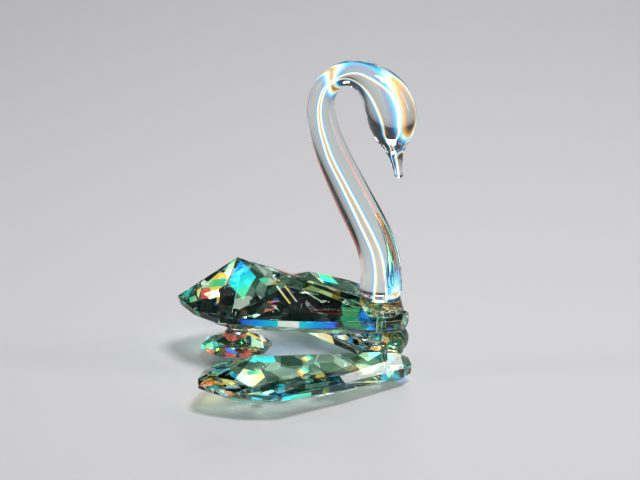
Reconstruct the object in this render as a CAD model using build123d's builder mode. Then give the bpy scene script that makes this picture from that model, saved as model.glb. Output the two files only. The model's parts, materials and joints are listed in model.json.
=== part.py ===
"""A crystal swan: cut chandelier prisms glued in a fan under one lampworked neck and head.

Millimetres, +Z up.  The swan looks along +X and its own left side is +Y.  Everything is laid out
from the chest, where the prisms' drilled ends meet, and moved at the end so that the origin is the
middle of the footprint, on the surface the swan stands on.
"""
from build123d import *
from math import atan, cos, degrees, hypot, pi, sin, tan
import os

os.makedirs("parts", exist_ok=True)

# ---------------------------------------------------------------- wing prisms (a mirrored pair)
wing_length = 50.0
wing_half_width = 12.8
wing_half_thickness = 5.5
wing_narrow_half_thickness = 3.3   # at the drilled end
wing_fan_angle = 45.5              # each wing's swing out from the tail direction
wing_tip_spread = 3.1              # from the centre plane to the middle of a wing's drilled end
left_wing_setback = 5.2            # the left wing is glued further back than the right one

# ---------------------------------------------------------------- back prism
back_length = 50.5
back_half_width = 13.0
back_crown_height = 10.2           # girdle plane to the upper apex
back_pavilion_depth = 6.3          # girdle plane to the lower apex
back_narrow_half_thickness = 2.7
back_setback = 0.9                 # its drilled end, behind the wings' drilled ends
chest_gap = 2.6                    # glue height between the wings' and the back's drilled ends

# ---------------------------------------------------------------- what all long prisms share
narrow_half_width = 4.9
shoulder_share = 0.06              # where the drilled end reaches its width, over the length
widest_share = 0.74                # where the two apexes and the widest point are
flat_tip_share = 0.55              # width of the flat tip over the drilled end's width
girdle_thickness = 1.1             # the flat band round the edge, at the wide end
girdle_thickness_narrow = 2.0      # the same band, at the drilled end
stringing_hole_diameter = 1.5
stringing_hole_setback = 5.6       # hole centre from the flat tip
waist_share = 0.60                 # how much of the width is reached halfway to the widest point
nose_corners = [(0.50, 0.72), (0.86, 0.28)]   # rounding of the wide end: shares of length and width
bevel_top_share = 0.3              # top of the drilled end's corner bevel, over its half width
flat_tip_height_share = 0.62       # height of the flat tip over the drilled end's
break_facet_steepness = 1.38       # girdle facets over main facets
long_facet_rise = 0.7              # how far above the band the long facets start
long_facet_lift = 1.2              # the outer long facet passes over the ridge's end by this

# ---------------------------------------------------------------- foot: a flat octagon bead
foot_across_flats = 14.0
foot_thickness = 6.0
foot_table_share = 0.50            # width of each flat table over the width across flats
foot_girdle_thickness = 0.9
foot_break_depth = 0.62            # how far down the crown the corner facets start
foot_hole_diameter = 1.0
foot_hole_inset = 2.0              # hole centre from the flat side

# ---------------------------------------------------------------- neck and head
neck_setback = 6.3                 # the neck's axis at its foot, behind the wings' drilled ends
swan_height = 69.0                 # top of the arch
neck_foot_radius = 2.5             # the melted underside that stands on the back prism's ridge
beak_tip_radius = 0.85

# ---------------------------------------------------------------- glue
glue_film = 0.2                    # between two glued pieces
neck_glue_radius = 5.1
neck_glue_lip_radius = 4.1         # where its sloping side would close, inside the neck
neck_glue_climb = 1.5              # how far the glue rises on the neck
neck_glue_sink = 0.4               # its underside, above the back prism's drilled end
neck_glue_skirt = 1.6              # from its underside to its widest ring
neck_glue_undercut = 1.2           # how much narrower the underside is than that ring
foot_glue_radius = 2.6
foot_glue_height = 0.9
foot_glue_taper = 40.0             # degrees the bead's side leans in

# ---------------------------------------------------------------- what follows from those sizes
wing_shoulder = shoulder_share * wing_length
wing_station = widest_share * wing_length
wing_pitch = atan((wing_half_thickness - wing_narrow_half_thickness) / (wing_station - wing_shoulder))
wing_level = wing_narrow_half_thickness * cos(wing_pitch) - wing_shoulder * sin(wing_pitch)
wing_top_at_chest = 2 * wing_narrow_half_thickness
back_level = wing_top_at_chest + chest_gap + back_narrow_half_thickness
back_station = widest_share * back_length
back_apex_level = foot_thickness + glue_film + back_pavilion_depth
back_pitch = atan((back_apex_level - back_level) / back_station)
back_shoulder = shoulder_share * back_length
back_ridge_slope = (back_crown_height - back_narrow_half_thickness) / (back_station - back_shoulder)
back_ridge_end_level = back_level + back_narrow_half_thickness + back_shoulder * sin(back_pitch)
back_ridge_rise = tan(atan(back_ridge_slope) + back_pitch)
neck_foot_reach = neck_setback - back_setback - back_shoulder + neck_foot_radius
neck_foot_level = back_ridge_end_level + back_ridge_rise * neck_foot_reach + glue_film
foot_centre_x = -(back_setback + back_station * cos(back_pitch))


def lerp(a, b, share):
    return tuple(p + (q - p) * share for p, q in zip(a, b))


def facet_plane(seat, a, b, c, inside):
    """The plane through three points of the seat's frame, facing away from the inside point."""
    p, q, r, core = (seat.from_local_coords(Vector(*point)) for point in (a, b, c, inside))
    normal = (q - p).cross(r - p)
    if normal.dot(core - p) > 0:
        normal = normal * -1
    return Plane(origin=p, z_dir=normal)


def half_outline(length, half_width):
    """The girdle outline on one side: (x, y, half thickness of the band) from drilled end to nose."""
    shoulder = shoulder_share * length
    station = widest_share * length
    wide_end = length - station
    narrow_band = girdle_thickness_narrow / 2
    wide_band = girdle_thickness / 2
    waist_half_width = narrow_half_width + waist_share * (half_width - narrow_half_width)
    outline = [
        (0.0, flat_tip_share * narrow_half_width, narrow_band),
        (shoulder, narrow_half_width, narrow_band),
        ((shoulder + station) / 2, waist_half_width, (narrow_band + wide_band) / 2),
        (station, half_width, wide_band),
    ]
    for along, out in nose_corners:
        outline.append((station + along * wide_end, out * half_width, wide_band))
    outline.append((length, 0.0, wide_band))
    return outline


def face_facets(seat, length, half_width, height, narrow_height, side):
    """The cutting planes of one face: side is 1 for the upper face and -1 for the lower one."""
    corners = half_outline(length, half_width)
    station = widest_share * length
    apex = (station, 0.0, side * height)
    shoulder = shoulder_share * length
    ridge_end = (shoulder, 0.0, side * narrow_height)
    core = (station, 0.0, 0.0)
    girdle_slope = break_facet_steepness * height / half_width
    planes = []
    for hand in (1, -1):
        rim = [(x, hand * y, side * band) for x, y, band in corners]
        raised = [(x, y, z + side * long_facet_rise) for x, y, z in rim]

        # two long facets from the apex: one beside the ridge, one steeper towards the band
        above_ridge = (shoulder, 0.0, side * (narrow_height + long_facet_lift))
        planes.append(facet_plane(seat, apex, ridge_end, raised[1], core))
        planes.append(facet_plane(seat, apex, above_ridge, raised[2], core))

        # kites round the wide end, each from the apex to one corner of the band
        for corner in rim[3:6]:
            across = (corner[0] - corner[1], corner[1] + corner[0] - station, corner[2])
            planes.append(facet_plane(seat, apex, corner, across, core))

        # steeper break facets, one over each side of the band
        for start, end in zip(rim[1:-1], rim[2:]):
            run = hypot(end[0] - start[0], end[1] - start[1])
            inward = (hand * (end[1] - start[1]) / run, -hand * (end[0] - start[0]) / run)
            middle = lerp(start, end, 0.5)
            above = (middle[0] + inward[0], middle[1] + inward[1], middle[2] + side * girdle_slope)
            planes.append(facet_plane(seat, start, end, above, core))

        # the bevelled corner of the drilled end
        bevel_top = (shoulder, hand * bevel_top_share * narrow_half_width, side * narrow_height)
        planes.append(facet_plane(seat, rim[0], rim[1], bevel_top, core))

    # the slope down to the flat tip
    tip_height = flat_tip_height_share * narrow_height
    beside_ridge = (shoulder, 1.0, side * narrow_height)
    planes.append(facet_plane(seat, ridge_end, beside_ridge, (0.0, 0.0, side * tip_height), core))
    return planes


def long_prism(seat, length, half_width, crown, pavilion, narrow_height):
    """An almond prism, cut facet by facet.  The seat's x runs from the drilled end to the nose."""
    half = [(x, y) for x, y, band in half_outline(length, half_width)]
    outline = half + [(x, -y) for x, y in reversed(half[:-1])]
    facets = face_facets(seat, length, half_width, crown, narrow_height, 1)
    facets += face_facets(seat, length, half_width, pavilion, narrow_height, -1)
    with BuildPart() as gem:
        with BuildSketch(seat.offset(-pavilion)):
            with BuildLine():
                Polyline(*outline, close=True)
            make_face()
        extrude(amount=crown + pavilion)
        for facet in facets:
            split(bisect_by=facet, keep=Keep.BOTTOM)
        with BuildSketch(seat.offset(-pavilion)):
            with Locations((stringing_hole_setback, 0)):
                Circle(stringing_hole_diameter / 2)
        extrude(amount=crown + pavilion, mode=Mode.SUBTRACT)
    return gem


def prism_seat(x, y, z, heading, pitch):
    """A seat whose x runs from the drilled end: heading out of the tail direction, pitch upwards."""
    turn = Location((0, 0, 0), (0, 0, 180 + heading))
    tilt = Location((0, 0, 0), (0, -degrees(pitch), 0))
    return Plane(Location((x, y, z)) * turn * tilt)


def wing(x, side):
    """A wing prism lying on its lower ridge: side is -1 for the right wing and 1 for the left."""
    seat = prism_seat(x, side * wing_tip_spread, wing_level, -side * wing_fan_angle, wing_pitch)
    return long_prism(
        seat,
        wing_length,
        wing_half_width,
        wing_half_thickness,
        wing_half_thickness,
        wing_narrow_half_thickness,
    )


right_wing = wing(0.0, -1)
left_wing = wing(-left_wing_setback, 1)

back = long_prism(
    prism_seat(-back_setback, 0.0, back_level, 0.0, back_pitch),
    back_length,
    back_half_width,
    back_crown_height,
    back_pavilion_depth,
    back_narrow_half_thickness,
)

# ---------------------------------------------------------------- foot bead
foot_seat = Plane(origin=(foot_centre_x, 0.0, foot_thickness / 2))
foot_apothem = foot_across_flats / 2
foot_corner_radius = foot_apothem / cos(pi / 8)
foot_band = foot_girdle_thickness / 2
foot_table_apothem = foot_table_share * foot_apothem
with BuildPart() as foot:
    with BuildSketch(foot_seat.offset(-foot_thickness / 2)):
        RegularPolygon(radius=foot_corner_radius, side_count=8, rotation=22.5)
    extrude(amount=foot_thickness)
    for side in (1, -1):
        break_top = foot_band + foot_break_depth * (foot_thickness / 2 - foot_band)
        # a main facet over each flat up to the table, and a lower one over each corner
        main_facets = (0.0, foot_apothem, foot_thickness / 2)
        corner_facets = (22.5, foot_corner_radius, break_top)
        for turn, reach, top in (main_facets, corner_facets):
            for step in range(8):
                facing = foot_seat.rotated((0, 0, 45.0 * step + turn))
                edge = (reach, 0.0, side * foot_band)
                beside = (reach, 1.0, side * foot_band)
                inner = (foot_table_apothem, 0.0, side * top)
                facet = facet_plane(facing, edge, beside, inner, (0, 0, 0))
                split(bisect_by=facet, keep=Keep.BOTTOM)
    with BuildSketch(foot_seat.offset(-foot_thickness / 2)):
        with Locations((foot_apothem - foot_hole_inset, 0), (foot_hole_inset - foot_apothem, 0)):
            Circle(foot_hole_diameter / 2)
    extrude(amount=foot_thickness, mode=Mode.SUBTRACT)

# ---------------------------------------------------------------- neck, head and beak, one piece of glass
# Each station is how far forward of the foot, how far up, and the glass's radius there.  The first
# two lengths are drawn for a rise of drawn_rise from the foot to the top of the arch, and stretch
# with the swan's height; the radii are those of the glass rod and don't.
drawn_rise = 53.1
neck_stations = [
    (0.0, 0.0, neck_foot_radius),
    (0.0, 0.8, 4.1),
    (0.0, 2.0, 4.7),
    (0.1, 4.4, 4.5),
    (0.2, 8.0, 4.35),
    (-0.9, 12.4, 4.3),
    (-3.1, 17.0, 4.2),
    (-5.7, 21.7, 4.05),
    (-8.2, 26.5, 3.85),
    (-10.6, 31.3, 3.6),
    (-12.4, 36.0, 3.3),
    (-13.4, 40.6, 3.05),
    (-13.1, 44.7, 2.8),
    (-11.0, 48.3, 2.65),
    (-7.6, 50.1, 2.7),
    (-4.3, 49.8, 3.35),
    (-1.2, 48.0, 4.4),
    (1.2, 45.2, 5.15),
    (2.5, 41.6, 5.25),
    (2.9, 38.0, 4.5),
    (3.0, 35.4, 3.0),
    (3.3, 33.4, 1.65),
    (3.6, 31.4, 1.25),
    (3.9, 29.6, 1.05),
]
beak_tip = (4.05, 29.0)
neck_scale = (swan_height - neck_foot_level) / drawn_rise


def neck_point(forward, up):
    """A point of the neck's centreline, in the swan's middle plane."""
    return Vector(forward * neck_scale - neck_setback, 0.0, up * neck_scale + neck_foot_level)


with BuildPart() as neck:
    centres = [neck_point(forward, up) for forward, up, radius in neck_stations]
    for index, (forward, up, radius) in enumerate(neck_stations):
        before = centres[max(index - 1, 0)]
        after = centres[min(index + 1, len(centres) - 1)]
        across = Plane(origin=centres[index], x_dir=(0, 1, 0), z_dir=after - before)
        with BuildSketch(across):
            Circle(radius)
    loft()
    with Locations(neck_point(*beak_tip)):
        Sphere(beak_tip_radius)

# ---------------------------------------------------------------- glue: cured clear beads
neck_glue_bottom = back_level + neck_glue_sink
neck_glue_shoulder = neck_glue_bottom + neck_glue_skirt
with BuildPart() as neck_glue:
    with BuildSketch(Plane.XZ):
        with BuildLine():
            axis_low = (-neck_setback, neck_glue_bottom)
            axis_high = (-neck_setback, neck_foot_level + neck_glue_climb)
            skirt_low = (neck_glue_radius - neck_glue_undercut - neck_setback, neck_glue_bottom)
            skirt = (neck_glue_radius - neck_setback, neck_glue_shoulder)
            lip = (neck_glue_lip_radius - neck_setback, neck_foot_level + neck_glue_climb)
            Polyline(axis_high, axis_low, skirt_low, skirt, lip, close=True)
        make_face()
    revolve(axis=Axis((-neck_setback, 0, 0), (0, 0, 1)))
    add(back.part, mode=Mode.SUBTRACT)
    add(neck.part, mode=Mode.SUBTRACT)

# the lump in the chest: (how far back, how far to the left, how far up the gap, radius)
chest_beads = [
    (3.5, 0.2, 0.50, 3.4),
    (2.2, -wing_tip_spread, 0.10, 2.0),
    (6.6, 0.5, 0.60, 3.1),
    (left_wing_setback + 2.2, wing_tip_spread, 0.10, 2.2),
    (9.8, -0.2, 0.75, 2.3),
]
with BuildPart() as chest_glue:
    for setback, left, share, radius in chest_beads:
        with Locations((-setback, left, wing_top_at_chest + share * chest_gap)):
            Sphere(radius)
    for neighbour in (back, right_wing, left_wing, neck_glue):
        add(neighbour.part, mode=Mode.SUBTRACT)

with BuildPart() as foot_glue:
    with BuildSketch(Plane.XY.offset(foot_thickness)):
        with Locations((foot_centre_x, 0)):
            Circle(foot_glue_radius)
    extrude(amount=foot_glue_height, taper=foot_glue_taper)
    add(back.part, mode=Mode.SUBTRACT)

# ---------------------------------------------------------------- the pieces, over their footprint
pieces = {
    "right_wing_prism": right_wing,
    "left_wing_prism": left_wing,
    "back_prism": back,
    "foot_bead": foot,
    "neck_and_head": neck,
    "neck_glue": neck_glue,
    "chest_glue": chest_glue,
    "foot_glue": foot_glue,
}
boxes = [piece.part.bounding_box() for piece in pieces.values()]
middle_x = (min(box.min.X for box in boxes) + max(box.max.X for box in boxes)) / 2
middle_y = (min(box.min.Y for box in boxes) + max(box.max.Y for box in boxes)) / 2
to_origin = Location((-middle_x, -middle_y, 0))
for name, piece in pieces.items():
    placed = piece.part.moved(to_origin)
    placed.label = name
    export_step(placed, f"parts/{name}.step")
    print(name, len(placed.solids()), "solid", len(placed.faces()), "faces", round(placed.volume, 1), "mm3")
print("middle of the foot's lower table", round(foot_centre_x - middle_x, 4), round(-middle_y, 4))
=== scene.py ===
# %% [markdown]
# # A crystal swan, finished in Blender
# The swan is five pieces of glass held by three beads of clear glue: two wing prisms, a back prism,
# an octagon foot bead, and one lampworked piece that is neck, head and beak. The CAD frame already
# holds every cut facet at its real place, so Blender keeps those nodes and gives them their glass.
# The neck and the glue are smooth, so they are modelled again here with clean, even faces.

# %% Load the frame
import json
import math

import bpy
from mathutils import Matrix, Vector

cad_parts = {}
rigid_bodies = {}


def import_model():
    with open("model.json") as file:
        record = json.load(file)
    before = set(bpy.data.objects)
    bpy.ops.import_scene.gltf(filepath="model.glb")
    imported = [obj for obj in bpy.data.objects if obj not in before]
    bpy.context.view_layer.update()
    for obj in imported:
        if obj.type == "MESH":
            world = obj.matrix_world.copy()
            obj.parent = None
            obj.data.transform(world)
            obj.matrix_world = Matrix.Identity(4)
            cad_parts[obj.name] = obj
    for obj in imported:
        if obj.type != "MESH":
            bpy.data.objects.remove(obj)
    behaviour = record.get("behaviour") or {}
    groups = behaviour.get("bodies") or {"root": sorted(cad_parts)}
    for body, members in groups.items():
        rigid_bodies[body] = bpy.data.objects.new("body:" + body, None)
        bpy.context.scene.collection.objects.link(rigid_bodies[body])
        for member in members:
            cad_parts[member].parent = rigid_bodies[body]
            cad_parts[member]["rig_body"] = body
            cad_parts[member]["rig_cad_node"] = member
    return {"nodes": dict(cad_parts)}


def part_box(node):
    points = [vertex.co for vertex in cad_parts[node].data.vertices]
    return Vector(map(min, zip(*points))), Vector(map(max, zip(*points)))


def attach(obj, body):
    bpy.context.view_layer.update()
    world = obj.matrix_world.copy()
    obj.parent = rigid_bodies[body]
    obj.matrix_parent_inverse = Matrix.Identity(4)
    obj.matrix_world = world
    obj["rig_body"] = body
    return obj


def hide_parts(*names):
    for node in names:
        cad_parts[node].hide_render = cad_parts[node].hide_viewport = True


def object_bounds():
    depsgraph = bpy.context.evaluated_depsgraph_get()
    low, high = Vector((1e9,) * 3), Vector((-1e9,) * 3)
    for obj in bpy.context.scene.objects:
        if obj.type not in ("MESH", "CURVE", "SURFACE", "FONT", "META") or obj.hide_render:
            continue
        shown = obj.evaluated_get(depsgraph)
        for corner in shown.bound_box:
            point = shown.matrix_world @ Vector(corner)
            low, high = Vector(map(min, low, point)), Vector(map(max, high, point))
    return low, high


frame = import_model()
MM = 0.001
CUT_PIECES = ["right_wing_prism", "left_wing_prism", "back_prism", "foot_bead"]
cad_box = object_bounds()
print("CAD box in mm", [round(v / MM, 1) for corner in cad_box for v in corner])

# %% [markdown]
# ## Places read from the frame
# A piece made here has to meet the CAD pieces, so its place comes from their boxes. The glue at the
# neck's foot is round about the rod at its front, so the rod's axis lies half the glue's width back
# from the glue's front edge.

# %% Landmarks
neck_low, neck_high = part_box("neck_and_head")
glue_low, glue_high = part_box("neck_glue")
neck_axis_x = glue_high.x - (glue_high.y - glue_low.y) / 2
neck_foot = Vector((neck_axis_x, 0.0, neck_low.z))
neck_rise = neck_high.z - neck_low.z
print("neck foot", [round(v / MM, 2) for v in neck_foot], "rise", round(neck_rise / MM, 2))

# %% [markdown]
# ## The camera
# The swan is seen from its right side, a little from the front and a little from above, through a
# long lens, which keeps the near wing from looking too large. A long lens means standing far off:
# the view's width at the swan and the distance together give the focal length.

# %% Camera
VIEW_AZIMUTH = 16.5
VIEW_ELEVATION = 18.0
VIEW_DISTANCE = 2.40
VIEW_WIDTH = 0.1357
SENSOR_WIDTH = 36.0
LOOK_BEHIND_NECK = 12.75 * MM
LOOK_ASIDE = -2.3 * MM
LOOK_HEIGHT_SHARE = 0.42
look_at = Vector((neck_axis_x - LOOK_BEHIND_NECK, LOOK_ASIDE, LOOK_HEIGHT_SHARE * cad_box[1].z))
azimuth = math.radians(VIEW_AZIMUTH)
elevation = math.radians(VIEW_ELEVATION)
towards_camera = Vector((
    math.sin(azimuth) * math.cos(elevation),
    -math.cos(azimuth) * math.cos(elevation),
    math.sin(elevation),
))
camera_data = bpy.data.cameras.new("shelf_camera")
camera_data.sensor_width = SENSOR_WIDTH
camera_data.lens = SENSOR_WIDTH * VIEW_DISTANCE / VIEW_WIDTH
camera_data.clip_start = 0.05
camera = bpy.data.objects.new("shelf_camera", camera_data)
camera.location = look_at + towards_camera * VIEW_DISTANCE
camera.rotation_mode = "QUATERNION"
camera.rotation_quaternion = (-towards_camera).to_track_quat("-Z", "Y")
bpy.context.scene.collection.objects.link(camera)
bpy.context.scene.camera = camera
print("lens", round(camera_data.lens, 1), "mm")

# %% [markdown]
# ## Small helpers
# Operators act on whatever is selected, so each step first clears the selection. A finished piece
# keeps its place in its mesh, with the object itself at the origin.


# %% Selection helpers
MERGE_GAP = 0.001 * MM


def deselect():
    """Leaves nothing selected and no mode open."""
    if bpy.context.object and bpy.context.object.mode != "OBJECT":
        bpy.ops.object.mode_set(mode="OBJECT")
    bpy.ops.object.select_all(action="DESELECT")


def pick(piece):
    """Selects one object only and makes it the active one."""
    deselect()
    piece.select_set(True)
    bpy.context.view_layer.objects.active = piece


def settle(piece):
    """Puts a piece's place into its mesh, turns its faces outwards and shades it smooth."""
    pick(piece)
    bpy.ops.object.transform_apply(location=True, rotation=True, scale=True)
    bpy.ops.object.mode_set(mode="EDIT")
    bpy.ops.mesh.select_all(action="SELECT")
    bpy.ops.mesh.normals_make_consistent(inside=False)
    bpy.ops.object.mode_set(mode="OBJECT")
    bpy.ops.object.shade_smooth()
    print(piece.name, len(piece.data.polygons), "faces")


def finish_piece(piece, replaced, material):
    """Gives a finished piece its one material and lets it stand for a CAD node."""
    piece.data.materials.clear()
    piece.data.materials.append(material)
    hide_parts(replaced)
    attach(piece, "root")


print("selection helpers ready, merge gap", MERGE_GAP, "m")

# %% [markdown]
# ## A pale table
# The table is only a stage. It is pale and rough, so it shows soft shadows and the colour that
# the glass lets through.

# %% Table
deselect()
bpy.ops.mesh.primitive_plane_add(size=4.0, location=(0.0, 0.0, 0.0))
table = bpy.context.object
table.name = "table"
table_finish = bpy.data.materials.new("pale_table")
table_finish.use_nodes = True
table_shader = table_finish.node_tree.nodes["Principled BSDF"]
table_shader.inputs["Base Color"].default_value = (0.74, 0.73, 0.76, 1.0)
table_shader.inputs["Roughness"].default_value = 0.55
table.data.materials.append(table_finish)
print("table", [round(side, 1) for side in table.dimensions], "m")

# %% [markdown]
# ## Soft light
# Clear glass has no colour of its own: it shows what is round it. A soft light high in front fills
# the facets, two smaller ones behind light the wings and the edges, and two narrow ones draw long
# highlights down the neck. The world stays dim, because dark surroundings give cut glass its dark
# and bright facets. The Standard view keeps the flashes' colours pure, where the default one would
# grey them.


# %% Lights
def soft_light(name, place, width, height, power, tint=(1.0, 1.0, 1.0), spread=180.0):
    """A rectangular softbox at a place, turned towards the swan's middle."""
    data = bpy.data.lights.new(name, "AREA")
    data.shape = "RECTANGLE"
    data.size = width
    data.size_y = height
    data.energy = power
    data.spread = math.radians(spread)
    data.color = tint
    lamp = bpy.data.objects.new(name, data)
    lamp.location = place
    lamp.rotation_mode = "QUATERNION"
    lamp.rotation_quaternion = (SWAN_MIDDLE - Vector(place)).to_track_quat("-Z", "Y")
    bpy.context.scene.collection.objects.link(lamp)
    print("light", name, power, "W")


SWAN_MIDDLE = Vector((0.0, 0.0, 0.03))
COOL = (0.90, 0.97, 1.0)
WARM = (1.0, 0.95, 0.88)
soft_light("high_box", (0.45, -0.45, 1.38), 0.46, 0.46, 1.20, spread=44.0)
soft_light("wing_light", (0.20, 0.42, 0.44), 0.07, 0.07, 0.10)
soft_light("left_strip", (-0.42, -0.18, 0.30), 0.05, 0.50, 0.45, COOL)
soft_light("right_strip", (0.40, 0.06, 0.22), 0.04, 0.36, 0.32, WARM)
soft_light("back_box", (-0.12, 0.60, 0.22), 0.22, 0.10, 0.30)
world = bpy.data.worlds.new("quiet_room")
world.use_nodes = True
world.node_tree.nodes["Background"].inputs["Color"].default_value = (0.62, 0.64, 0.70, 1.0)
world.node_tree.nodes["Background"].inputs["Strength"].default_value = 0.06
bpy.context.scene.world = world
bpy.context.scene.view_settings.view_transform = "Standard"

# %% [markdown]
# ## Adding and feeding a node
# A shader is a tree of small nodes, joined by links from one node's output to another's input. An
# input with no link holds a plain number or colour.


# %% Node helpers
BLACK = (0.0, 0.0, 0.0, 1.0)


def node(tree, kind, place, **values):
    """Adds a node to a tree, at a place in the editor, and sets its properties."""
    made = tree.nodes.new(kind)
    made.location = place
    for name, value in values.items():
        setattr(made, name, value)
    return made


def feed(tree, socket, source):
    """Links a socket to another one, or sets it to a constant."""
    if isinstance(source, bpy.types.NodeSocket):
        tree.links.new(source, socket)
    elif source is not None:
        socket.default_value = source


def feed_all(tree, made, sources):
    """Feeds several inputs of one node, given by name."""
    for name, source in sources.items():
        feed(tree, made.inputs[name], source)


print("nodes can be added and fed")

# %% [markdown]
# ## Calculating with nodes
# Each helper adds one kind of node, feeds it and returns the output to be used next, so a tree reads
# from top to bottom like a calculation.


# %% Calculating helpers
def maths(tree, operation, place, first, second=None):
    """A math node; returns its output."""
    made = node(tree, "ShaderNodeMath", place, operation=operation)
    feed(tree, made.inputs[0], first)
    feed(tree, made.inputs[1], second)
    return made.outputs["Value"]


def vector_maths(tree, operation, place, first, second):
    """A vector math node on two vectors; returns its vector, or its number for a dot product."""
    made = node(tree, "ShaderNodeVectorMath", place, operation=operation)
    feed(tree, made.inputs[0], first)
    feed(tree, made.inputs[1], second)
    return made.outputs["Value" if operation == "DOT_PRODUCT" else "Vector"]


def scaled(tree, place, vector, factor):
    """A vector multiplied by a number."""
    made = node(tree, "ShaderNodeVectorMath", place, operation="SCALE")
    feed(tree, made.inputs[0], vector)
    feed(tree, made.inputs["Scale"], factor)
    return made.outputs["Vector"]


def map_range(tree, place, value, low, high, to_low=0.0, to_high=1.0):
    """Turns one range of numbers into another, and holds what lies outside at its ends."""
    made = node(tree, "ShaderNodeMapRange", place)
    feed_all(tree, made, {
        "Value": value, "From Min": low, "From Max": high, "To Min": to_low, "To Max": to_high,
    })
    return made.outputs["Result"]


def mix(tree, place, factor, first, second, kind="RGBA"):
    """Blends two colours, or two numbers, by a factor."""
    made = node(tree, "ShaderNodeMix", place, data_type=kind)
    feed_all(tree, made, {"Factor": factor, "A": first, "B": second})
    return made.outputs["Result"]


def separate(tree, place, colour):
    """Splits a colour into its three numbers; returns the outputs Red, Green and Blue."""
    made = node(tree, "ShaderNodeSeparateColor", place)
    feed(tree, made.inputs["Color"], colour)
    return made.outputs


def colour_ramp(tree, place, position, stops, interpolation="LINEAR"):
    """A colour ramp with its stops, (position, colour) pairs in order; returns its colour."""
    made = node(tree, "ShaderNodeValToRGB", place)
    ramp = made.color_ramp
    ramp.interpolation = interpolation
    for element, (stop, colour) in zip(ramp.elements, (stops[0], stops[-1])):
        element.position = stop
        element.color = (*colour, 1.0)
    for stop, colour in stops[1:-1]:
        ramp.elements.new(stop).color = (*colour, 1.0)
    feed(tree, made.inputs["Fac"], position)
    return made.outputs["Color"]


print("nodes can calculate")

# %% [markdown]
# ## Starting a node group
# A node group is a tree with named sockets of its own, used like a single node. The groups here all
# give two colours: a tint that the glass lets through and a flash that it sends out.


# %% Group helper
def new_group(name, inputs):
    """A node group that gives a Tint and a Flash; returns it with what goes in and what comes out."""
    tree = bpy.data.node_groups.new(name, "ShaderNodeTree")
    for label, kind, default in inputs:
        socket = tree.interface.new_socket(name=label, in_out="INPUT", socket_type="NodeSocket" + kind)
        if default is not None:
            socket.default_value = default
    for label in ("Tint", "Flash"):
        tree.interface.new_socket(name=label, in_out="OUTPUT", socket_type="NodeSocketColor")
    given = node(tree, "NodeGroupInput", (-1500, 0))
    result = node(tree, "NodeGroupOutput", (1100, 0))
    return tree, given.outputs, result.inputs


print("groups can be started")

# %% [markdown]
# ## Fire: the colours of cut crystal
# Heavy crystal splits light, so some facets flash blue, green, yellow or orange while their
# neighbours stay clear. Blender's glass bends all colours alike, so the flashes are painted. Every
# facet gets a random key from the way that it faces, and Voronoi cells split the facet into
# splinters, as the facets behind it would. A splinter's red number picks whether it burns, its green
# number where in the spectrum it starts, and its blue number how much painted dark reflection it
# shows: a dark tint that stands for the dim room mirrored in the facets. It is one node group,
# because the cut pieces and the glue both use it with their own values.

# %% The fire group
SPECTRUM = [
    (0.00, (0.02, 0.06, 0.80)),
    (0.16, (0.01, 0.40, 1.00)),
    (0.32, (0.02, 0.90, 0.80)),
    (0.46, (0.15, 0.90, 0.25)),
    (0.58, (0.95, 1.00, 0.90)),
    (0.74, (1.00, 0.80, 0.08)),
    (0.88, (1.00, 0.30, 0.03)),
    (1.00, (0.70, 0.06, 0.08)),
]
FACET_SHIFT = 37.0
PAINTED_DARK_FROM = 0.32
PAINTED_DARK_TO = 0.62
fire, fire_in, fire_out = new_group("crystal_fire", [
    ("Facing", "Vector", None),
    ("Place", "Vector", None),
    ("Facet Grain", "Float", 5.0),
    ("Slide", "Float", 60.0),
    ("Splinters", "Float", 190.0),
    ("Burning Share", "Float", 0.1),
    ("Clear Glass", "Color", (0.93, 0.99, 0.96, 1.0)),
    ("Painted Dark Reflection", "Color", (0.20, 0.38, 0.32, 1.0)),
])
facet_cells = node(fire, "ShaderNodeTexVoronoi", (-1300, 150), voronoi_dimensions="3D", feature="F1")
feed_all(fire, facet_cells, {"Vector": fire_in["Facing"], "Scale": fire_in["Facet Grain"]})
facet_key = facet_cells.outputs["Color"]

facet_shift = scaled(fire, (-1040, 420), facet_key, FACET_SHIFT)
splinter_place = scaled(fire, (-1040, 640), fire_in["Place"], fire_in["Splinters"])
splinter_key = vector_maths(fire, "ADD", (-860, 520), facet_shift, splinter_place)
splinters = node(fire, "ShaderNodeTexVoronoi", (-680, 520), voronoi_dimensions="3D", feature="F1")
feed_all(fire, splinters, {"Vector": splinter_key, "Scale": 1.0})
numbers = separate(fire, (-480, 520), splinters.outputs["Color"])

slide_direction = vector_maths(fire, "SUBTRACT", (-650, -80), facet_key, (0.5, 0.5, 0.5))
slide_along = vector_maths(fire, "DOT_PRODUCT", (-460, -80), slide_direction, fire_in["Place"])
slide = maths(fire, "MULTIPLY", (-280, -80), slide_along, fire_in["Slide"])
start_plus_slide = maths(fire, "ADD", (-110, 40), numbers["Green"], slide)
around_spectrum = maths(fire, "PINGPONG", (60, 40), start_plus_slide, 1.0)
fire_colour = colour_ramp(fire, (230, 60), around_spectrum, SPECTRUM)

burning = maths(fire, "LESS_THAN", (-110, 260), numbers["Red"], fire_in["Burning Share"])
# Painted dark reflection: splinters past the blue threshold turn dark, standing for the dim room mirrored
# in the facets.
painted_dark_share = map_range(fire, (-110, 460), numbers["Blue"], PAINTED_DARK_FROM, PAINTED_DARK_TO)
glass_and_painted_dark = mix(fire, (230, 420), painted_dark_share, fire_in["Clear Glass"], fire_in["Painted Dark Reflection"])
feed(fire, fire_out["Tint"], mix(fire, (560, 120), burning, glass_and_painted_dark, fire_colour))
feed(fire, fire_out["Flash"], mix(fire, (560, -140), burning, BLACK, fire_colour))
print("fire group", len(fire.nodes), "nodes")

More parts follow.
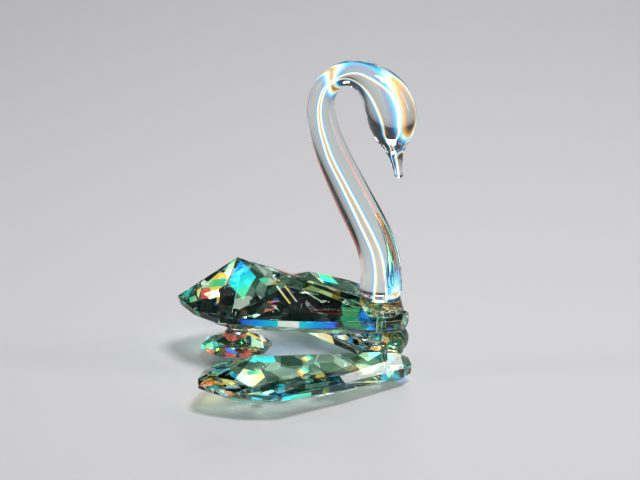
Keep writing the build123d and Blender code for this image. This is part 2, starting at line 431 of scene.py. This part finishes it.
# %% [markdown]
# ## Flashes on chosen facets
# A few facets flash brighter than the rest: a kite that runs from blue through cyan to green, a
# strip along the girdle, and small patches where one facet shows another. Each is a window on the
# facet, set by its middle and two half sizes, as a diamond or a rectangle, and it only shows where
# the surface faces the right way. Its colours run along it, or are folded and run out from its
# middle to both ends.

# %% The flash group
patch, patch_in, patch_out = new_group("facet_flash", [
    ("Facing", "Vector", None),
    ("Place", "Vector", None),
    ("Tint", "Color", None),
    ("Flash", "Color", None),
    ("Toward", "Vector", None),
    ("Facing Limit", "Float", 0.99),
    ("Middle", "Vector", None),
    ("Lengthwise", "Vector", None),
    ("Crosswise", "Vector", None),
    ("Squareness", "Float", 0.0),
    ("Folded", "Float", 0.0),
    ("First Colour", "Float", 0.0),
    ("Last Colour", "Float", 0.5),
    ("Strength", "Float", 1.0),
])
WINDOW_EDGE = 1.02
WINDOW_FULL = 0.92
facing_share = vector_maths(patch, "DOT_PRODUCT", (-1300, 300), patch_in["Facing"], patch_in["Toward"])
faces_it = maths(patch, "GREATER_THAN", (-1100, 300), facing_share, patch_in["Facing Limit"])

off_middle = vector_maths(patch, "SUBTRACT", (-1300, -100), patch_in["Place"], patch_in["Middle"])
length_share = vector_maths(patch, "DOT_PRODUCT", (-1100, 60), off_middle, patch_in["Lengthwise"])
cross_share = vector_maths(patch, "DOT_PRODUCT", (-1100, -160), off_middle, patch_in["Crosswise"])
length_size = maths(patch, "ABSOLUTE", (-900, 60), length_share)
cross_size = maths(patch, "ABSOLUTE", (-900, -160), cross_share)
diamond = maths(patch, "ADD", (-720, 60), length_size, cross_size)
rectangle = maths(patch, "MAXIMUM", (-720, -160), length_size, cross_size)
outline = mix(patch, (-540, 0), patch_in["Squareness"], diamond, rectangle, "FLOAT")
within = map_range(patch, (-360, 60), outline, WINDOW_EDGE, WINDOW_FULL)
window_mask = maths(patch, "MULTIPLY", (-160, 200), within, faces_it)

plain_run = map_range(patch, (-720, -360), length_share, -1.0, 1.0)
run = mix(patch, (-540, -300), patch_in["Folded"], plain_run, length_size, "FLOAT")
along_spectrum = mix(
    patch, (-340, -300), run, patch_in["First Colour"], patch_in["Last Colour"], "FLOAT"
)
patch_colour = colour_ramp(patch, (-120, -240), along_spectrum, SPECTRUM)
patch_glow = mix(patch, (240, -240), patch_in["Strength"], BLACK, patch_colour)
feed(patch, patch_out["Tint"], mix(patch, (600, 160), window_mask, patch_in["Tint"], patch_colour))
feed(patch, patch_out["Flash"], mix(patch, (600, -120), window_mask, patch_in["Flash"], patch_glow))
print("flash group", len(patch.nodes), "nodes")

# %% [markdown]
# ## Glass
# Glass is the Principled shader with full transmission. Lead crystal bends light more than the
# neck's soft glass, so its IOR is higher.


# %% Glass materials
SHADOW_ALPHA = 0.55


def glass(name, ior, roughness, flash_strength):
    """A clear material; returns it with its tree and its Principled shader."""
    made = bpy.data.materials.new(name)
    made.use_nodes = True
    tree = made.node_tree
    shader = tree.nodes["Principled BSDF"]
    feed_all(tree, shader, {
        "Transmission Weight": 1.0, "Metallic": 0.0, "IOR": ior, "Roughness": roughness,
        "Emission Strength": flash_strength,
    })
    shadow_ray = node(tree, "ShaderNodeLightPath", (-420, -420)).outputs["Is Shadow Ray"]
    alpha = map_range(tree, (-220, -420), shadow_ray, 0.0, 1.0, 1.0, SHADOW_ALPHA)
    feed(tree, shader.inputs["Alpha"], alpha)
    print("material", name, "IOR", ior)
    return made, tree, shader


def put_on_tint_and_flash(tree, shader, colours):
    """Gives a shader the tint and the painted flash of a colour group; the flash glows as emission."""
    tree.links.new(colours.outputs["Tint"], shader.inputs["Base Color"])
    tree.links.new(colours.outputs["Flash"], shader.inputs["Emission Color"])


def use_fire(tree, grain, slide, share, clear, painted_dark_reflection):
    """Adds the fire group on the object's own coordinates and normals; returns both nodes."""
    coordinates = node(tree, "ShaderNodeTexCoord", (-900, 100))
    colours = node(tree, "ShaderNodeGroup", (-420, 120), node_tree=fire)
    feed_all(tree, colours, {
        "Facing": coordinates.outputs["Normal"],
        "Place": coordinates.outputs["Object"],
        "Facet Grain": grain,
        "Slide": slide,
        "Burning Share": share,
        "Clear Glass": (*clear, 1.0),
        "Painted Dark Reflection": (*painted_dark_reflection, 1.0),
    })
    return coordinates, colours


cut_crystal, cut_tree, cut_shader = glass("cut_crystal", ior=1.60, roughness=0.0, flash_strength=0.75)
# The nearly black second colour is the crystal's painted dark reflection.
cut_place, cut_fire = use_fire(
    cut_tree, grain=5.0, slide=60.0, share=0.09, clear=(0.70, 0.92, 0.74), painted_dark_reflection=(0.05, 0.13, 0.08)
)

# %% [markdown]
# ## Where the flashes are
# Each row names a cut piece and a place near its surface. A window's length runs level along the
# facet, and the lean turns it from there. A square window is a rectangle, and any other a diamond.
# Colours are places in the spectrum, from 0, blue, to 1, red.

# %% The list of flashes
# piece, place (mm), half length and half width (mm), lean (degrees), square, folded,
# first colour, last colour, strength
FLASHES = [
    ("back_prism", (-5.5, -3.5, 19), 2.2, 1.3, -20, 0, 0, 0.20, 0.80, 0.5),
    ("back_prism", (-1.5, -5.5, 17), 2.9, 0.22, -62, 1, 0, 0.58, 0.74, 0.9),
    ("back_prism", (0, -5, 17.5), 2.6, 0.18, -62, 1, 0, 0.74, 0.58, 0.7),
    ("back_prism", (4.5, -4, 17), 2.4, 0.16, -40, 1, 0, 0.58, 0.50, 0.6),
    ("back_prism", (-17.5, -4.5, 18), 3.4, 1.1, 24, 1, 0, 0.58, 0.36, 0.8),
    ("back_prism", (-15, -8.5, 16), 1.6, 0.35, -50, 1, 0, 0.60, 0.90, 0.8),
    ("back_prism", (-21.5, -6, 14.5), 1.8, 1.0, 10, 0, 0, 0.36, 0.58, 0.6),
    ("back_prism", (1, -10, 12.3), 10.4, 0.9, 0, 1, 1, 0.34, 0.02, 0.9),
    ("back_prism", (1, -10, 12.3), 2.3, 0.9, 0, 1, 0, 0.56, 0.58, 0.9),
    ("right_wing_prism", (19, -9.5, 7), 3.2, 1.3, 8, 1, 0, 0.50, 0.58, 0.8),
    ("right_wing_prism", (23.5, -7, 6), 2.9, 1.9, 8, 0, 0, 0.52, 0.66, 0.9),
    ("right_wing_prism", (8.5, -21.5, 9), 1.5, 0.75, 6, 1, 0, 0.90, 0.28, 1.0),
    ("right_wing_prism", (1, -33.5, 9), 2.0, 0.6, 10, 1, 0, 0.30, 0.62, 0.8),
    ("right_wing_prism", (-3, -38, 7.5), 1.0, 0.5, 0, 0, 0, 0.66, 0.76, 0.9),
    ("left_wing_prism", (-3.5, 32, 9.5), 5.2, 2.0, -4, 1, 0, 0.34, 0.58, 1.0),
    ("left_wing_prism", (8.5, 5.5, 5), 1.8, 1.0, 0, 0, 0, 0.50, 0.92, 0.8),
    ("foot_bead", (-8, -1, 4.5), 3.0, 2.6, 0, 0, 0, 0.50, 0.58, 0.9),
]
print("flashes listed", len(FLASHES))

# %% [markdown]
# ## Laying the flashes
# Blender finds the nearest facet to each place, so the window lies on it exactly and faces as it
# does. Every flash is laid over the ones before it, as a stack of the same node group. The limits
# are cosines: how closely a surface has to face as the window does.

# %% Lay the flashes
ONE_FACET = 0.99
TWO_FACETS = 0.985


def facet_at(name, place):
    """The nearest point of a cut piece's surface to a place in mm, and the way its facet faces."""
    point, facing = frame["nodes"][name].closest_point_on_mesh(Vector(place) * MM)[1:3]
    return point, facing.normalized()


def window_axes(facing, half_length, half_width, lean):
    """Two vectors that measure a place on a facet in half lengths and half widths of a window."""
    level = Vector((0.0, 0.0, 1.0)).cross(facing).normalized()
    upward = facing.cross(level)
    turn = math.radians(lean)
    lengthwise = level * math.cos(turn) + upward * math.sin(turn)
    crosswise = facing.cross(lengthwise)
    return lengthwise / (half_length * MM), crosswise / (half_width * MM)


def add_flash(under, facing, limit, middle, axes, square, folded, first, last, strength):
    """Lays one more flash over the colours that the crystal has so far; returns the new layer."""
    window = node(cut_tree, "ShaderNodeGroup", (under.location.x + 60, 700), node_tree=patch)
    feed_all(cut_tree, window, {
        "Facing": cut_place.outputs["Normal"],
        "Place": cut_place.outputs["Object"],
        "Tint": under.outputs["Tint"],
        "Flash": under.outputs["Flash"],
        "Toward": facing,
        "Facing Limit": limit,
        "Middle": middle,
        "Lengthwise": axes[0],
        "Crosswise": axes[1],
        "Squareness": square,
        "Folded": folded,
        "First Colour": first,
        "Last Colour": last,
        "Strength": strength,
    })
    return window


top_layer = cut_fire
for name, place, half_length, half_width, lean, square, folded, first, last, strength in FLASHES:
    middle, facing = facet_at(name, place)
    axes = window_axes(facing, half_length, half_width, lean)
    top_layer = add_flash(top_layer, facing, ONE_FACET, middle, axes, square, folded, first, last, strength)
    print("flash on", name, "facing", [round(share, 2) for share in facing])

# %% [markdown]
# ## The kite
# The brightest flash is a leaning kite over two facets of the back, so it is set by its two half
# diagonals, and it faces midway between the two. Then the cut pieces put their crystal on.

# %% The kite flash
kite_middle, left_facing = facet_at("back_prism", (-11, -4.5, 19.3))
right_facing = facet_at("back_prism", (-8, -2, 20.5))[1]
kite_facing = (left_facing + right_facing).normalized()
down_kite = Vector((1.6, -4.2, -3.1)) * MM
across_kite = Vector((2.85, 1.25, 0.5)) * MM
kite_length = across_kite.cross(kite_facing)
kite_width = down_kite.cross(kite_facing)
kite_axes = (kite_length / down_kite.dot(kite_length), kite_width / across_kite.dot(kite_width))
top_layer = add_flash(
    top_layer, kite_facing, TWO_FACETS, kite_middle, kite_axes,
    square=0, folded=0, first=0.08, last=0.48, strength=1.0,
)
put_on_tint_and_flash(cut_tree, cut_shader, top_layer)
for name in CUT_PIECES:
    for slot in frame["nodes"][name].material_slots:
        slot.material = cut_crystal
    print(name, "wears", cut_crystal.name)

# %% [markdown]
# ## Crisp but real edges
# A cut edge is never razor sharp: polishing leaves a hair-fine round that catches the light as a
# thin bright line. The CAD meshes stay as they are, and two live modifiers do it: Weld joins the
# loose triangles, and Bevel rounds only the edges between facets.

# %% Facet edges
EDGE_ROUND = 0.07 * MM
FACET_ANGLE = 8.0
for name in CUT_PIECES:
    piece = frame["nodes"][name]
    weld = piece.modifiers.new("join_triangles", "WELD")
    weld.merge_threshold = MERGE_GAP
    bevel = piece.modifiers.new("polished_edges", "BEVEL")
    bevel.width = EDGE_ROUND
    bevel.segments = 2
    bevel.limit_method = "ANGLE"
    bevel.angle_limit = math.radians(FACET_ANGLE)
    bevel.use_clamp_overlap = True
    bevel.harden_normals = False
    print(name, "modifiers", [modifier.name for modifier in piece.modifiers])

# %% [markdown]
# ## The lampworked neck
# A lampworker draws a soft glass rod upwards, lets it fall over into an arch, leaves a drop at its
# end for the head and pulls the beak out of the drop. The neck is drawn the same way, station by
# station along the swan's middle plane. Each station has its place and the rod's radius there, and
# the rod heads from the station before it to the one after it.

# %% Stations of the neck
# forward, up, radius and side-to-side share of the radius, in millimetres from the neck's foot
NECK_STATIONS = [
    (0.00, 0.35, 2.30, 1.00),
    (0.00, 0.45, 3.30, 1.00),
    (0.00, 1.05, 4.25, 1.00),
    (0.00, 2.20, 4.65, 1.00),
    (0.10, 4.40, 4.50, 1.00),
    (0.20, 8.00, 4.35, 1.00),
    (-0.90, 12.40, 4.30, 1.00),
    (-3.10, 17.00, 4.20, 1.00),
    (-5.70, 21.70, 4.05, 1.00),
    (-8.20, 26.50, 3.85, 1.00),
    (-10.60, 31.30, 3.60, 1.00),
    (-12.40, 36.00, 3.30, 1.00),
    (-13.40, 40.60, 3.05, 1.00),
    (-13.10, 44.70, 2.80, 1.00),
    (-11.00, 48.30, 2.65, 1.00),
    (-7.60, 50.10, 2.70, 1.00),
    (-4.30, 49.80, 3.35, 0.98),
    (-1.10, 48.00, 4.50, 0.95),
    (1.40, 45.20, 5.40, 0.94),
    (2.60, 41.50, 5.65, 0.93),
    (2.70, 37.90, 4.85, 0.94),
    (2.90, 35.30, 3.20, 0.96),
    (3.20, 33.40, 1.80, 1.00),
    (3.50, 31.20, 1.30, 1.00),
    (3.75, 29.60, 0.98, 1.00),
    (3.90, 28.75, 1.05, 1.00),
    (3.98, 28.15, 0.98, 1.00),
    (4.03, 27.70, 0.62, 1.00),
]
NECK_SIDES = 24
DRAWN_RISE = 53.1
stretch = neck_rise / (DRAWN_RISE * MM)
ring_centres = [
    neck_foot + Vector((forward, 0.0, up)) * MM * stretch for forward, up, radius, share in NECK_STATIONS
]
rings = len(ring_centres)
ring_headings = [Vector((0.0, 0.0, 1.0))]
for index in range(1, rings):
    before = ring_centres[index - 1]
    after = ring_centres[min(index + 1, rings - 1)]
    ring_headings.append((after - before).normalized())
print("neck stretch", round(stretch, 4), "stations", rings)

# %% [markdown]
# ## Drawing the neck
# A ring of points stands on the foot. For each station it is extruded, turned along the way it goes
# and resized to the rod's thickness there, and its far end is closed at the beak's tip.


# %% Draw the neck
def turn_about_y(start, end):
    """The angle about +Y that turns one heading of the middle plane into another."""
    return math.atan2(end.x, end.z) - math.atan2(start.x, start.z)


deselect()
bpy.ops.mesh.primitive_circle_add(
    vertices=NECK_SIDES, radius=NECK_STATIONS[0][2] * MM, fill_type="NGON", location=ring_centres[0]
)
neck = bpy.context.object
neck.name = "drawn_neck_and_head"
neck.data.name = "drawn_neck_and_head"
bpy.ops.object.transform_apply(location=True, rotation=True, scale=True)
bpy.ops.object.mode_set(mode="EDIT")
bpy.ops.mesh.select_all(action="SELECT")
for index in range(1, rings):
    centre = ring_centres[index]
    step = centre - ring_centres[index - 1]
    growth = NECK_STATIONS[index][2] / NECK_STATIONS[index - 1][2]
    flatter = NECK_STATIONS[index][3] / NECK_STATIONS[index - 1][3]
    turn = turn_about_y(ring_headings[index - 1], ring_headings[index])
    bpy.ops.mesh.extrude_region_move(TRANSFORM_OT_translate={"value": step})
    bpy.ops.transform.resize(value=(growth, growth * flatter, growth), center_override=centre)
    bpy.ops.transform.rotate(value=-turn, orient_axis="Y", center_override=centre)
bpy.ops.mesh.poke()
bpy.ops.object.mode_set(mode="OBJECT")
last_ring = neck.data.vertices[(rings - 1) * NECK_SIDES:rings * NECK_SIDES]
worst = max(abs((v.co - ring_centres[-1]).dot(ring_headings[-1])) for v in last_ring)
print("neck points", len(neck.data.vertices), "last ring out of plane by mm", round(worst / MM, 4))

# %% [markdown]
# ## Where a streak of light runs
# Light runs down a glass rod in streaks that follow it round every bend. The neck therefore carries
# its own directions as attributes: how far along it a point is, how far to the side and how far to
# the throat. The material reads them later.

# %% Directions on the neck
along = neck.data.attributes.new("along", "FLOAT", "POINT")
sideways = neck.data.attributes.new("sideways", "FLOAT", "POINT")
throat = neck.data.attributes.new("throat", "FLOAT", "POINT")
for vertex in neck.data.vertices:
    ring = min(vertex.index // NECK_SIDES, rings - 1)
    radius = NECK_STATIONS[ring][2] * MM
    from_centre = vertex.co - ring_centres[ring]
    inner_side = Vector((0.0, 1.0, 0.0)).cross(ring_headings[ring])
    along.data[vertex.index].value = ring / (rings - 1)
    sideways.data[vertex.index].value = from_centre.y / radius
    throat.data[vertex.index].value = from_centre.dot(inner_side) / radius
print("attributes", [attribute.name for attribute in (along, sideways, throat)])

# %% [markdown]
# ## Smoothing the neck
# Subdivision rounds the drawn rings into one flowing surface, and blends their directions with them.

# %% Smooth the neck
pick(neck)
flow = neck.modifiers.new("flow", "SUBSURF")
flow.levels = 3
flow.render_levels = 3
bpy.ops.object.modifier_apply(modifier="flow")
settle(neck)
neck_box = [Vector(neck.bound_box[0]), Vector(neck.bound_box[6])]
print("neck box mm", [[round(v / MM, 2) for v in corner] for corner in neck_box])
print("CAD neck mm", [[round(v / MM, 2) for v in corner] for corner in (neck_low, neck_high)])

# %% [markdown]
# ## Streaks in the glass rod
# A round rod is a lens: it squeezes the light behind it into a pair of bright lines with coloured
# edges, which run close together down the neck and open into a loop on the head. The course says
# where the pair runs at each place along the neck: its red number is the pair's place round the rod,
# green is half the gap between its lines, and blue is how strongly two thin red lines show beside
# it. The fringe is what one line looks like from the pair's inside to its outside, and the strength
# is how much of the fringe shows.

# %% Courses and fringes
STREAK_COURSE = [
    (0.00, (0.56, 0.46, 0.0)),
    (0.10, (0.60, 0.30, 0.0)),
    (0.22, (0.60, 0.21, 1.0)),
    (0.34, (0.59, 0.15, 1.0)),
    (0.45, (0.56, 0.11, 0.2)),
    (0.54, (0.50, 0.10, 0.0)),
    (0.60, (0.42, 0.32, 0.0)),
    (0.67, (0.40, 0.46, 0.0)),
    (0.73, (0.42, 0.36, 0.0)),
    (0.78, (0.46, 0.10, 0.0)),
    (0.84, (0.50, 0.34, 0.0)),
    (1.00, (0.50, 0.40, 0.0)),
]
STREAK_FRINGE = [
    (0.00, (0.35, 0.30, 0.12)),
    (0.18, (0.60, 0.22, 0.05)),
    (0.30, (1.00, 0.36, 0.03)),
    (0.40, (1.00, 0.85, 0.25)),
    (0.48, (1.00, 1.00, 0.95)),
    (0.56, (0.60, 1.00, 1.00)),
    (0.68, (0.02, 0.55, 1.00)),
    (0.84, (0.03, 0.08, 0.50)),
    (1.00, (0.05, 0.06, 0.30)),
]
STREAK_STRENGTH = [
    (0.00, 0.00), (0.20, 0.04), (0.34, 0.85), (0.48, 1.00), (0.66, 0.90), (0.84, 0.35), (1.00, 0.00)
]
SIDE_LINES = [
    (0.00, 0.00), (0.10, 0.00), (0.13, 0.90), (0.16, 0.00),
    (0.80, 0.00), (0.83, 0.70), (0.86, 0.00), (1.00, 0.00),
]
SIDE_RED = (1.00, 0.16, 0.08, 1.0)
print("course stops", len(STREAK_COURSE), "fringe stops", len(STREAK_FRINGE))

# %% [markdown]
# ## The streak group
# The group works out the angle round the rod, takes off the pair's own angle with a little waver, and
# measures how far that is past the line. It mirrors at the middle plane, because the sideways number
# loses its sign, so the left side has the same pair. All its angles are in radians.


# %% The streak group
def greys(stops):
    """Stops of a grey ramp, from (position, brightness) pairs."""
    return [(position, (grey, grey, grey)) for position, grey in stops]


WIDEST_CENTRE = 1.2
WAVER = 0.10
LINE_HALF_WIDTH = 0.19
SIDE_REACH = 1.4
streaks, rod_in, rod_out = new_group("rod_streaks", [
    ("Along", "Float", None),
    ("Sideways", "Float", None),
    ("Throat", "Float", None),
    ("Place", "Vector", None),
    ("Clear Glass", "Color", (0.86, 0.94, 0.90, 1.0)),
])
course_colour = colour_ramp(streaks, (-1300, 420), rod_in["Along"], STREAK_COURSE, "EASE")
course = separate(streaks, (-1020, 420), course_colour)
pair_angle = map_range(streaks, (-840, 420), course["Red"], 0.0, 1.0, -WIDEST_CENTRE, WIDEST_CENTRE)

either_side = maths(streaks, "ABSOLUTE", (-1300, 0), rod_in["Sideways"])
angle = maths(streaks, "ARCTAN2", (-1120, 60), rod_in["Throat"], either_side)
noise = node(streaks, "ShaderNodeTexNoise", (-1120, -260))
feed_all(streaks, noise, {"Vector": rod_in["Place"], "Scale": 120.0, "Detail": 1.0})
waver = map_range(streaks, (-920, -260), noise.outputs["Fac"], 0.0, 1.0, -WAVER, WAVER)
off_pair = maths(streaks, "SUBTRACT", (-640, 120), angle, pair_angle)
wavering = maths(streaks, "ADD", (-460, 60), off_pair, waver)
distance = maths(streaks, "ABSOLUTE", (-280, 60), wavering)
past_line = maths(streaks, "SUBTRACT", (-100, 120), distance, course["Green"])
across_line = map_range(streaks, (60, 120), past_line, -LINE_HALF_WIDTH, LINE_HALF_WIDTH)

fringe = colour_ramp(streaks, (220, 120), across_line, STREAK_FRINGE, "EASE")
strength = colour_ramp(streaks, (220, -160), across_line, greys(STREAK_STRENGTH), "EASE")
tinted = mix(streaks, (620, 160), strength, rod_in["Clear Glass"], fringe)
glow = mix(streaks, (620, -120), strength, BLACK, fringe)

side_place = map_range(streaks, (-280, -420), wavering, -SIDE_REACH, SIDE_REACH)
side_lines = colour_ramp(streaks, (-60, -420), side_place, greys(SIDE_LINES))
side_share = maths(streaks, "MULTIPLY", (240, -420), side_lines, course["Blue"])
feed(streaks, rod_out["Tint"], mix(streaks, (880, 160), side_share, tinted, SIDE_RED))
feed(streaks, rod_out["Flash"], mix(streaks, (880, -120), side_share, glow, SIDE_RED))
print("streak group", len(streaks.nodes), "nodes")

# %% [markdown]
# ## Lampworked glass
# The neck's own glass reads the three attributes and feeds them to the streak group. The neck then
# puts it on and takes the place of the plain CAD neck.

# %% Lampworked glass
soft_glass, rod_tree, rod_shader = glass("lampworked_glass", ior=1.50, roughness=0.0, flash_strength=0.80)
rod_place = node(rod_tree, "ShaderNodeTexCoord", (-900, -100))
rod_colours = node(rod_tree, "ShaderNodeGroup", (-420, 120), node_tree=streaks)
rod_tree.links.new(rod_place.outputs["Object"], rod_colours.inputs["Place"])
for row, attribute in enumerate(("along", "sideways", "throat")):
    reader = node(rod_tree, "ShaderNodeAttribute", (-900, 420 - 180 * row), attribute_name=attribute)
    rod_tree.links.new(reader.outputs["Fac"], rod_colours.inputs[attribute.capitalize()])
put_on_tint_and_flash(rod_tree, rod_shader, rod_colours)
finish_piece(neck, "neck_and_head", soft_glass)
print(neck.name, "wears", soft_glass.name)

# %% [markdown]
# ## Clear glue
# The glue is a little duller than the crystal and bends light less. It uses the same fire, with
# paler glass, a paler painted dark reflection and more splinters that burn, as it shows the crystal
# behind it.

# %% Clear glue
clear_glue, glue_tree, glue_shader = glass("clear_glue", ior=1.48, roughness=0.03, flash_strength=0.05)
# The glue's paler second colour is its painted dark reflection.
glue_fire = use_fire(
    glue_tree, grain=3.0, slide=60.0, share=0.30, clear=(0.92, 0.97, 0.88), painted_dark_reflection=(0.45, 0.60, 0.50)
)[1]
put_on_tint_and_flash(glue_tree, glue_shader, glue_fire)

# %% [markdown]
# ## Glue beads
# The swan is put together with glue that squeezed out and set in lumps. Each CAD glue bead is copied
# and joined, remeshed to an even skin, smoothed as surface tension would, and pushed in by a hair so
# that its skin and the crystal's never lie in one place, which a renderer can't sort out.

# %% Glue beads
# CAD node, name, skin's face size (mm), smoothing steps, how far it is pushed in (mm)
GLUE_BEADS = [
    ("neck_glue", "neck_glue_bead", 0.14, 6, 0.16),
    ("chest_glue", "chest_glue_lump", 0.16, 8, 0.25),
    ("foot_glue", "foot_glue_dot", 0.08, 3, 0.05),
]
RIPPLE_SIZE = 1.6 * MM


def joined_copy(node_name, name):
    """A copy of a CAD node with its loose triangles joined and no marks of the original."""
    pick(frame["nodes"][node_name])
    bpy.ops.object.duplicate()
    copy = bpy.context.object
    copy.name = name
    copy.data.name = name
    bpy.ops.object.parent_clear(type="CLEAR_KEEP_TRANSFORM")
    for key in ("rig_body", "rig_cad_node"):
        if key in copy:
            del copy[key]
    bpy.ops.object.mode_set(mode="EDIT")
    bpy.ops.mesh.select_all(action="SELECT")
    bpy.ops.mesh.remove_doubles(threshold=MERGE_GAP)
    bpy.ops.object.mode_set(mode="OBJECT")
    return copy


def soften(lump, voxel, smoothing, push):
    """Gives a lump an even skin, smooths it and pushes it in unevenly."""
    skin = lump.modifiers.new("even_skin", "REMESH")
    skin.mode = "VOXEL"
    skin.voxel_size = voxel
    bpy.ops.object.modifier_apply(modifier="even_skin")
    tension = lump.modifiers.new("tension", "SMOOTH")
    tension.iterations = smoothing
    tension.factor = 0.5
    bpy.ops.object.modifier_apply(modifier="tension")
    ripple = bpy.data.textures.new(lump.name + "_ripple", "CLOUDS")
    ripple.noise_scale = RIPPLE_SIZE
    uneven = lump.modifiers.new("uneven", "DISPLACE")
    uneven.texture = ripple
    uneven.texture_coords = "LOCAL"
    uneven.strength = push
    uneven.mid_level = 1.0
    bpy.ops.object.modifier_apply(modifier="uneven")


for node_name, name, face_size, smoothing, push in GLUE_BEADS:
    lump = joined_copy(node_name, name)
    soften(lump, face_size * MM, smoothing, push * MM)
    settle(lump)
    finish_piece(lump, node_name, clear_glue)
